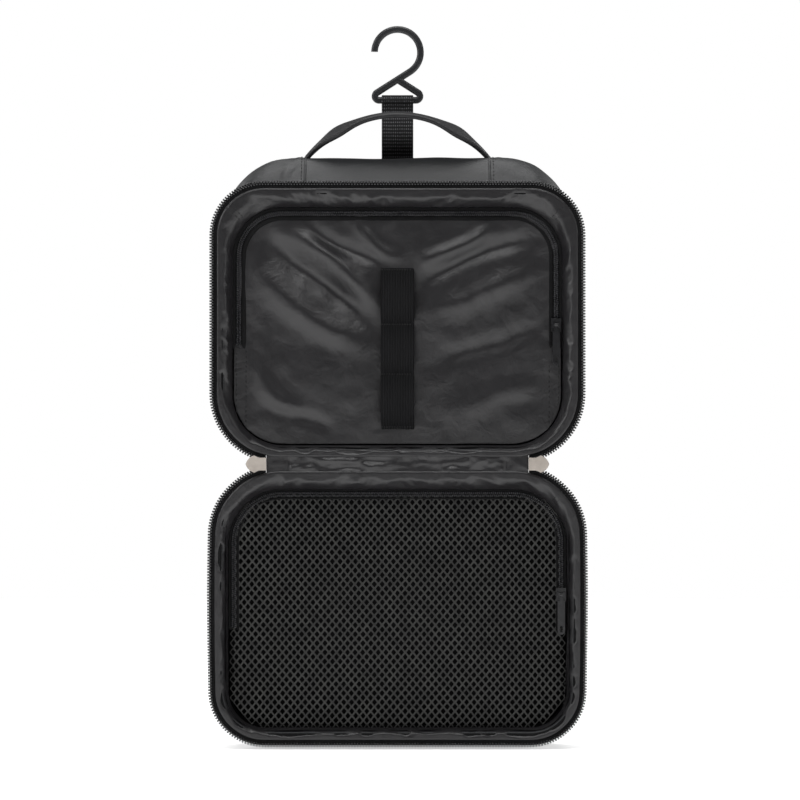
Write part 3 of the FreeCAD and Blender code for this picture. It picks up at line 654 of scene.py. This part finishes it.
for v in bm.verts:
    u = v.co.z - fold_z
    inside = max(0.0, to_edge(v.co.x, u, panel_outline))
    hold = 1 - math.exp(-inside / (8 * MM))
    above = 1 if u < ELASTIC_TOP_U else math.exp(-((u - ELASTIC_TOP_U) / (8 * MM)) ** 2)
    band = 1 - 0.8 * math.exp(-(v.co.x / (11 * MM)) ** 4) * above
    rise = 2.1 * fold_height(v.co.x / MM, u / MM, PANEL_FOLDS) * MM
    rise += 1.2 * MM * noise.noise(Vector((v.co.x * 34, u * 30, 5)))
    rise += 0.5 * MM * noise.noise(Vector((v.co.x * 110, u * 90, 6)))
    near_zip = math.exp(-inside / (10 * MM)) * (1 if u > 70 * MM else 0.3)
    rise += 1.6 * MM * near_zip * noise.noise(Vector((v.co.x * 150, u * 150, 1)))
    v.co.y -= (0.6 * MM + rise) * hold * band
    # The flap beside each zip end is a second layer, folded over and sewn down.
    if u < 76 * MM:
        v.co.y -= 0.8 * MM / (1 + math.exp(-(abs(v.co.x) - 93.6 * MM) / (0.5 * MM)))
front_skin = BVHTree.FromBMesh(bm)
front = finished(bm, "upper_pocket_front", taffeta, 0.4 * MM)
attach(front, "upper_case")
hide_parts("upper_pocket_panel", "upper_side_flaps")

flap_seams = [on_front(front_skin, ((x, 17 * MM), (x, top))) for x, top in
              ((-101 * MM, 72 * MM), (-95 * MM, 70 * MM), (95 * MM, 64 * MM), (101 * MM, 64 * MM))]
flap_stitches = stitched("upper_flap_stitches", flap_seams)
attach(flap_stitches, "upper_case")

# ---- Border seams ----------------------------------------------------------------------
# The lining borders are pieced at the corners with short slanting seams, and sewn down beside the net.
for side, name, seams in (
        (UPPER, "upper", (((-107, 160), (-98, 152)), ((-105, 162), (-96, 154)), ((107, 160), (98, 152)),
                          ((105, 162), (96, 154)))),
        (LOWER, "lower", (((-105, -19), (-96, -27)), ((-103, -17), (-94, -25)), ((105, -19), (96, -27)),
                          ((103, -17), (94, -25)), ((-106, -92), (-103, -158)), ((107, -108), (104, -156))))):
    rows = [on_front(borders[side], [(x * MM, u * MM) for x, u in ends]) for ends in seams]
    rows = [[point if point.y > rim_y - 0.1 * MM else point - OUT * 0.3 * MM for point in row] for row in rows]
    border_stitches = stitched(name + "_border_stitches", [row for row in rows if len(row) > 2], pitch=2.4 * MM)
    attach(border_stitches, name + "_case")

# ---- Pocket zips ------------------------------------------------------------------------
# A fine nylon coil on black tape round each pocket: across the fold side or the far side and down both sides.
ZIP_END = {UPPER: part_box("upper_pocket_coil")[0].z, LOWER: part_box("lower_pocket_coil")[0].z}
coil_pitch = 1.25 * MM
coil_nylon, shader = new_material("coiled_nylon", "#2b2b2e", Roughness=0.28)
place = object_place(coil_nylon)
drawn = add_node(coil_nylon, "ShaderNodeTexNoise", {"Scale": 800.0}, {"Vector": place})
bump_to(coil_nylon, shader, [(drawn.outputs["Fac"], 0.00005)])
for side, name in ((UPPER, "upper"), (LOWER, "lower")):
    line, half = coil_outline(side), BAND_HALF[side]
    bm = bmesh.new()
    # Seen across: outer edge turned under, tape, a groove, the coil's bed, and the same again.
    section = ((half + 0.4 * MM, 0.6), (half, -0.5), (half - 0.6 * MM, -0.7), (1.9 * MM, -0.5), (1.5 * MM, 0.1),
               (0, 0.2), (-1.5 * MM, 0.1), (-1.9 * MM, -0.5), (-half + 0.6 * MM, -0.7), (-half, -0.5),
               (-half - 0.4 * MM, 0.6))
    bridged(bm, [rounded_loop(bm, pocket_y + rise * MM, side, shrunk(line, -out), 90, 70, 16)
                 for out, rise in section], BEHIND)
    end = ZIP_END[side]
    bmesh.ops.bisect_plane(bm, geom=bm.verts[:] + bm.edges[:] + bm.faces[:], plane_co=(0, 0, end),
                           plane_no=(0, 0, -1), clear_outer=True)
    tape = finished(bm, name + "_pocket_zip_tape", zip_tape, 0.5 * MM)
    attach(tape, name + "_case")
    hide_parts(name + "_pocket_tape")
    bm = bmesh.new()
    for spot, along in walk(loop_points(pocket_y - 0.5 * MM, side, line, 24), coil_pitch):
        if spot.z < end + 1 * MM:
            continue
        across = OUT.cross(along)
        for lean in (-1, 1):
            link = turned(spot + across * lean * 0.8 * MM + along * lean * coil_pitch * 0.25, along, OUT,
                          (0.45 * MM, 0.9 * MM, 0.7 * MM))
            bmesh.ops.create_uvsphere(bm, u_segments=6, v_segments=4, radius=1, matrix=link)
    coil = finished(bm, name + "_pocket_zip_coil", coil_nylon, smooth=0)
    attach(coil, name + "_case")
    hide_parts(name + "_pocket_coil")

# ---- Net of the lower pocket ----------------------------------------------------------------
# Knitted polyester net with diamond holes 4.8 mm wide and 5.7 mm high, in strands about 1 mm wide.
# It is stretched over the pocket and bellies out a little; its edge is caught under the zip tape.
net_yarn, shader = new_material("knitted_net", "#1e1e1e", Roughness=0.5)
shader.inputs["Specular IOR Level"].default_value = 0.4
place = object_place(net_yarn)
strands = add_node(net_yarn, "ShaderNodeTexNoise", {"Scale": 900.0, "Detail": 2.0}, {"Vector": place})
wear_to(net_yarn, shader, place, 120.0, "#171716", "#2d2d2b")
bump_to(net_yarn, shader, [(strands.outputs["Fac"], 0.0003)])
HOLE_W, HOLE_H, STRAND_HALF = 4.8 * MM, 5.7 * MM, 0.75 * MM
net_outline = shrunk(front_edge(LOWER), 1.4 * MM)


def within(x, u, outline):
    """Whether a point lies inside the rounded rectangle."""
    half_w, u_fold, u_free, r_fold, r_free = outline
    radius = r_free if u > (u_free + u_fold) / 2 else r_fold
    dx = abs(x) - (half_w - radius)
    du = max(u - (u_free - radius), (u_fold + radius) - u)
    if dx > 0 and du > 0:
        return math.hypot(dx, du) <= radius
    return dx <= radius and du <= radius


bm = bmesh.new()
rows = round((net_outline[2] - net_outline[1]) / (HOLE_H / 2))
columns = round(net_outline[0] / HOLE_W) + 1
for row in range(rows):
    u = net_outline[1] + (row + 0.5) * HOLE_H / 2
    for column in range(-columns, columns + 1):
        x = (column + 0.5 * (row % 2)) * HOLE_W
        if within(x, u, net_outline):
            cell = Matrix.Translation((x, pocket_y, fold_z - u)) @ Matrix.Rotation(math.pi / 2, 4, "X") \
                @ Matrix.Diagonal((HOLE_W / 2, HOLE_H / 2, 1, 1))
            bmesh.ops.create_circle(bm, cap_ends=True, segments=4, radius=1, matrix=cell)
bmesh.ops.remove_doubles(bm, verts=bm.verts[:], dist=0.1 * MM)
turned_from(bm, BEHIND)
cells = bm.faces[:]
bmesh.ops.inset_individual(bm, faces=cells, thickness=STRAND_HALF)
hole_corners = list({v for f in cells for v in f.verts})
bmesh.ops.bevel(bm, geom=hole_corners, offset=0.4 * MM, offset_type="OFFSET", segments=1, profile=0.5,
                affect="VERTICES", material=-1)
holes = [f for f in bm.faces if len(f.verts) == 8]
bmesh.ops.delete(bm, geom=holes, context="FACES_ONLY")
for v in bm.verts:
    u = fold_z - v.co.z
    inside = max(0.0, to_edge(v.co.x, u, net_outline))
    belly = 1 - math.exp(-inside / (22 * MM))
    v.co.y -= belly * (2.2 * MM + 1.6 * MM * noise.noise(Vector((v.co.x * 22, u * 22, 3))))
    v.co.x += 0.5 * MM * noise.noise(Vector((v.co.x * 60, u * 60, 9)))
net = finished(bm, "lower_pocket_net", net_yarn, 0.6 * MM, 0)
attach(net, "lower_case")
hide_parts("lower_mesh_panel", "lower_side_flaps")

# ---- Elastic band -----------------------------------------------------------------------
# Ribbed black elastic, 20 mm wide, sewn to the pocket front by rows of stitches that leave open loops.
elastic_low, elastic_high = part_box("elastic_band")
elastic, shader = new_material("ribbed_elastic", "#0f0f10", Roughness=0.7)
shader.inputs["Specular IOR Level"].default_value = 0.15
place = object_place(elastic)
# Rubber cords run up the band 1 mm apart under the weave.
cords = add_node(elastic, "ShaderNodeTexWave", {"Scale": 310.0, "bands_direction": "X"}, {"Vector": place})
weave = add_node(elastic, "ShaderNodeTexWave", {"Scale": 520.0, "bands_direction": "Z"}, {"Vector": place})
# Painted shade and highlight: the grooves between the ribs are coloured darker and the ridges lighter, along the same
# waves as the bump.
rib_shade_tone = add_node(elastic, "ShaderNodeValToRGB", {}, {"Fac": cords.outputs["Fac"]})
rib_shade_tone.color_ramp.elements[0].color, rib_shade_tone.color_ramp.elements[0].position = linear("#070708"), 0.2
rib_shade_tone.color_ramp.elements[1].color, rib_shade_tone.color_ramp.elements[1].position = linear("#1d1d1f"), 0.9
elastic.node_tree.links.new(rib_shade_tone.outputs["Color"], shader.inputs["Base Color"])
bump_to(elastic, shader, [(cords.outputs["Fac"], 0.0005), (weave.outputs["Fac"], 0.0001)])
LOOP_LENGTHS = (33 * MM, 30 * MM, 32 * MM)
LOOP_RISE = elastic_high.y - elastic_low.y
ELASTIC_T = 1.2 * MM
bm = bmesh.new()
profile, z = [], elastic_high.z
for length in (*LOOP_LENGTHS, 0):
    profile += [(z, 0), (z - 1.2 * MM, 0)]
    z -= 1.2 * MM
    top = z
    for step in range(1, 24):
        share = step / 24
        if length:
            bulge = math.sin(math.pi * share) ** 0.8 * (LOOP_RISE - ELASTIC_T)
            profile.append((top - share * length, bulge))
    z = top - length
profile.append((z - 1.2 * MM, 0))
rows_of_verts = []
RIB_COLUMNS = 40
for z, bulge in profile:
    start = bm.verts.new((elastic_low.x, elastic_high.y - 0.6 * MM - bulge, z))
    rows_of_verts.append(start)
edges = [bm.edges.new(pair) for pair in zip(rows_of_verts, rows_of_verts[1:])]
width = elastic_high.x - elastic_low.x
for column in range(RIB_COLUMNS):
    strip = bmesh.ops.extrude_edge_only(bm, edges=edges)["geom"]
    moved = [g for g in strip if isinstance(g, bmesh.types.BMVert)]
    edges = [g for g in strip if isinstance(g, bmesh.types.BMEdge) and g.is_boundary and
             all(v in moved for v in g.verts)]
    bmesh.ops.translate(bm, verts=moved, vec=(width / RIB_COLUMNS, 0, 0))
for v in bm.verts:
    v.co.x += 0.5 * MM * noise.noise(Vector((0, 0, v.co.z * 45)))
turned_from(bm, BEHIND)
band = finished(bm, "elastic_loops", elastic, 1.0 * MM, offset=0)
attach(band, "upper_case")
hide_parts("elastic_band")
elastic_length = sum(math.dist(a, b) for a, b in zip(profile, profile[1:]))

rows, z = [], elastic_high.z - 0.9 * MM
for length in (*LOOP_LENGTHS, 0):
    for drop in (0, 1.3 * MM):
        rows.append([Vector((x * MM, elastic_high.y - 1.3 * MM, z - drop)) for x in (-9.6, 0, 9.6)])
    z -= length + 1.2 * MM
elastic_stitches = stitched("elastic_stitches", rows, pitch=1.6 * MM, length=1.3 * MM)
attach(elastic_stitches, "upper_case")

# ---- Webbing strap -------------------------------------------------------------------------
# 20 mm polyester webbing, doubled round the hook's bar and sewn down on the back of the upper case.
# Its weft floats stand as staggered rows of small raised dots, coloured bright as painted highlights.
strap_low, strap_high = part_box("hang_strap")
tail_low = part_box("strap_tail")[0]
webbing, shader = new_material("polyester_webbing", "#141415", Roughness=0.7)
shader.inputs["Specular IOR Level"].default_value = 0.3
place = object_place(webbing)
ribs = add_node(webbing, "ShaderNodeTexWave", {"Scale": 143.0, "bands_direction": "Z"}, {"Vector": place})
floats = object_place(webbing, (714, 30, 455))
dots = add_node(webbing, "ShaderNodeTexVoronoi", {"Scale": 1.0, "Randomness": 0.1}, {"Vector": floats})
# Painted highlight: the raised dots are coloured light grey on the black webbing.
float_highlight_tone = add_node(webbing, "ShaderNodeValToRGB", {}, {"Fac": dots.outputs["Distance"]})
float_highlight_tone.color_ramp.elements[0].color, float_highlight_tone.color_ramp.elements[0].position = linear("#77777a"), 0.12
float_highlight_tone.color_ramp.elements[1].color, float_highlight_tone.color_ramp.elements[1].position = linear("#121213"), 0.3
webbing.node_tree.links.new(float_highlight_tone.outputs["Color"], shader.inputs["Base Color"])
bump_to(webbing, shader, [(ribs.outputs["Fac"], 0.00015), (dots.outputs["Distance"], -0.0003)])
BAR_R = 1.9 * MM
bar_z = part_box("hanger_hook")[0].z + BAR_R
LOOP_R = (strap_high.y - strap_low.y) / 2 - 0.55 * MM
path = []
sewn_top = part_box("upper_back_panel")[1].z
path += [(back_y + 0.8 * MM, tail_low.z), (back_y + 0.8 * MM, sewn_top - 3 * MM), (0.45 * MM, sewn_top + 2 * MM)]
path += [(0.55 * MM, bar_z - 2.2 * LOOP_R)]
for degrees in range(-50, 231, 20):
    angle = math.radians(degrees)
    path.append((LOOP_R * math.cos(angle), bar_z + LOOP_R * math.sin(angle)))
path += [(-0.55 * MM, bar_z - 2.2 * LOOP_R), (-0.6 * MM, sewn_top + 9 * MM)]
bm = bmesh.new()
chain = [bm.verts.new((strap_low.x, y, z)) for y, z in path]
edges = [bm.edges.new(pair) for pair in zip(chain, chain[1:])]
for edge in list(edges):
    cuts = int(edge.calc_length() / (1.2 * MM))
    if cuts:
        bmesh.ops.subdivide_edges(bm, edges=[edge], cuts=cuts)
edges = bm.edges[:]
strap_width = strap_high.x - strap_low.x
WEAVE_COLUMNS = 24
for column in range(WEAVE_COLUMNS):
    strip = bmesh.ops.extrude_edge_only(bm, edges=edges)["geom"]
    moved = [g for g in strip if isinstance(g, bmesh.types.BMVert)]
    edges = [g for g in strip if isinstance(g, bmesh.types.BMEdge) and all(v in moved for v in g.verts)]
    bmesh.ops.translate(bm, verts=moved, vec=(strap_width / WEAVE_COLUMNS, 0, 0))
turned_from(bm, Vector((0, 0, bar_z)))
strap = finished(bm, "webbing_strap", webbing, 1.0 * MM, offset=0)
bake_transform(strap)
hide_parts("hang_strap", "strap_tail")
sum(math.dist(a, b) for a, b in zip(path, path[1:]))

# ---- Carry handle --------------------------------------------------------------------------
# A flat strip of the coated cloth folded round webbing and edge-stitched, 20 mm wide in the middle.
# Its ends are pinched together and sewn into the two seams of the top wall.
handle_low, handle_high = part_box("carry_handle")
handle_cloth, shader = new_material("coated_handle_cloth", "#19191b", Roughness=0.5)
shader.inputs["Specular IOR Level"].default_value = 0.4
place = object_place(handle_cloth)
wear_to(handle_cloth, shader, place, 60.0, "#151517", "#1f1f21")
grain = add_node(handle_cloth, "ShaderNodeTexVoronoi", {"Scale": 1100.0}, {"Vector": place})
bump_to(handle_cloth, shader, [(grain.outputs["Distance"], 0.0001)])
handle_y = (handle_low.y + handle_high.y) / 2
handle_rise = handle_high.z - handle_low.z - 1.5 * MM
base_z = handle_low.z + 1.5 * MM
arch_r = (HANDLE_SEAM_X ** 2 + handle_rise ** 2) / (2 * handle_rise)
arch_z = base_z + handle_rise - arch_r
ARCH_STEPS, BAND_STEPS = 60, 10
half_angle = math.asin(HANDLE_SEAM_X / arch_r) * 1.03
bm = bmesh.new()
grid = bmesh.ops.create_grid(bm, x_segments=ARCH_STEPS, y_segments=BAND_STEPS, size=1)
for v in grid["verts"]:
    angle = v.co.x * half_angle
    centre_r = arch_r - 1.6 * MM
    spread = min(1.0, (1 - abs(v.co.x)) / 0.45)
    half_width = (1.4 + 8.6 * spread * spread * (3 - 2 * spread)) * MM
    lean = 0.1 + 0.22 * math.exp(-((abs(v.co.x) - 0.62) / 0.2) ** 2)
    off = v.co.y * half_width
    radius = centre_r - 1.0 * MM * v.co.y * v.co.y + off * lean
    v.co = Vector((radius * math.sin(angle), handle_y + off, arch_z + radius * math.cos(angle)))
turned_from(bm, Vector((0, handle_y, base_z)))
handle = finished(bm, "carry_handle_band", handle_cloth, 3.0 * MM, 2, offset=0)
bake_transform(handle)
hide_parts("carry_handle")

# ---- Hook -----------------------------------------------------------------------------
# Injection-moulded black acetal: satin, with soft highlights along its rounded edges.
acetal, shader = new_material("moulded_acetal", "#202124", Roughness=0.38)
place = object_place(acetal)
mould = add_node(acetal, "ShaderNodeTexNoise", {"Scale": 700.0, "Detail": 3.0}, {"Vector": place})
wear_to(acetal, shader, place, 90.0, "#1c1d1f", "#28292b")
bump_to(acetal, shader, [(mould.outputs["Fac"], 0.00012)])
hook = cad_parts["hanger_hook"]
hook.data.materials.clear()
hook.data.materials.append(acetal)

# ---- Sliders and pulls --------------------------------------------------------------------
# The main sliders are die-cast zinc with brushed nickel plate; the small ones are enamelled black.
nickel, shader = new_material("brushed_nickel_plate", "#c4bbb2", Metallic=0.7, Roughness=0.42)
place = object_place(nickel, (60, 60, 900))
brushing = add_node(nickel, "ShaderNodeTexNoise", {"Scale": 1.0, "Detail": 3.0}, {"Vector": place})
wear_to(nickel, shader, object_place(nickel), 120.0, "#b9b0a7", "#cdc4bb")
bump_to(nickel, shader, [(brushing.outputs["Fac"], 0.00004)])
enamel, shader = new_material("black_enamel", "#161618", Roughness=0.3)
place = object_place(enamel)
wear_to(enamel, shader, place, 400.0, "#131315", "#202022")
for node_name, material in (("left_slider", nickel), ("right_slider", nickel), ("left_pull_tab", nickel),
                            ("right_pull_tab", nickel), ("upper_pocket_slider", enamel),
                            ("upper_pocket_pull", enamel), ("lower_pocket_slider", enamel),
                            ("lower_pocket_pull", enamel)):
    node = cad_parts[node_name]
    node.data.materials.clear()
    node.data.materials.append(material)
    edge = node.modifiers.new("cast_edges", "BEVEL")
    edge.width, edge.segments, edge.limit_method, edge.angle_limit = 0.3 * MM, 2, "ANGLE", math.radians(40)

# ---- Studio ----------------------------------------------------------------------------
# A round of white paper just under the bag, in a white room that the camera sees brighter than the bag does,
# so that black cloth keeps its shading.
paper, shader = new_material("white_paper", "#ffffff", Roughness=0.9)
shader.inputs["Emission Color"].default_value = linear("#ffffff")
shader.inputs["Emission Strength"].default_value = 0.5
FLOOR_R = 1.8
floor_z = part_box("lower_zip_teeth")[0].z - 1.5 * MM
bm = bmesh.new()
bmesh.ops.create_circle(bm, cap_ends=True, segments=96, radius=FLOOR_R, matrix=Matrix.Translation((0, 0, floor_z)))
finished(bm, "paper_floor", paper, smooth=0)


def softbox(name, place, aim, size, watts):
    light = bpy.data.lights.new(name, "AREA")
    light.shape, light.size, light.size_y, light.energy = "RECTANGLE", *size, watts
    lamp = bpy.data.objects.new(name, light)
    lamp.location = place
    lamp.rotation_euler = (Vector(aim) - Vector(place)).to_track_quat("-Z", "Y").to_euler()
    bpy.context.scene.collection.objects.link(lamp)


softbox("top_light", (0.0, -0.7, 0.9), (0, -0.02, -0.2), (1.2, 0.3), 8)
softbox("left_light", (-1.3, -0.9, 0.5), (0, 0, -0.25), (0.3, 0.8), 8.5)
softbox("right_light", (1.5, -0.9, 0.3), (0, 0, -0.25), (0.3, 0.8), 3)
softbox("back_light_left", (-1.4, 1.2, 0.6), (0, 0, -0.25), (0.6, 1.0), 9)
softbox("back_light_right", (1.4, 1.2, 0.6), (0, 0, -0.25), (0.6, 1.0), 9)
softbox("floor_light", (0.0, 0.3, 1.7), (0, 0.3, -0.45), (1.6, 1.2), 24)
world = bpy.data.worlds.new("studio")
world.use_nodes = True
sky = world.node_tree.nodes["Background"]
seen_by = add_node(world, "ShaderNodeLightPath")
LIT_LEVEL, SEEN_LEVEL = 0.09, 1.0
level = add_node(world, "ShaderNodeMapRange", {"To Min": LIT_LEVEL, "To Max": SEEN_LEVEL},
                 {"Value": seen_by.outputs["Is Camera Ray"]})
world.node_tree.links.new(level.outputs["Result"], sky.inputs["Strength"])
sky.inputs["Color"].default_value = (1, 1, 1, 1)
bpy.context.scene.world = world
bpy.context.scene.view_settings.view_transform = "Standard"

CAMERA_AWAY, FOCAL_LENGTH, SENSOR_W = 2.4, 172.8, 36
lens = bpy.data.cameras.new("camera")
lens.lens, lens.sensor_width = FOCAL_LENGTH, SENSOR_W
lens.clip_end = 50
camera = bpy.data.objects.new("camera", lens)
camera.location = (0.0016, rim_y - CAMERA_AWAY, -0.234)
camera.rotation_euler = (math.radians(90), 0, 0)
bpy.context.scene.collection.objects.link(camera)
bpy.context.scene.camera = camera
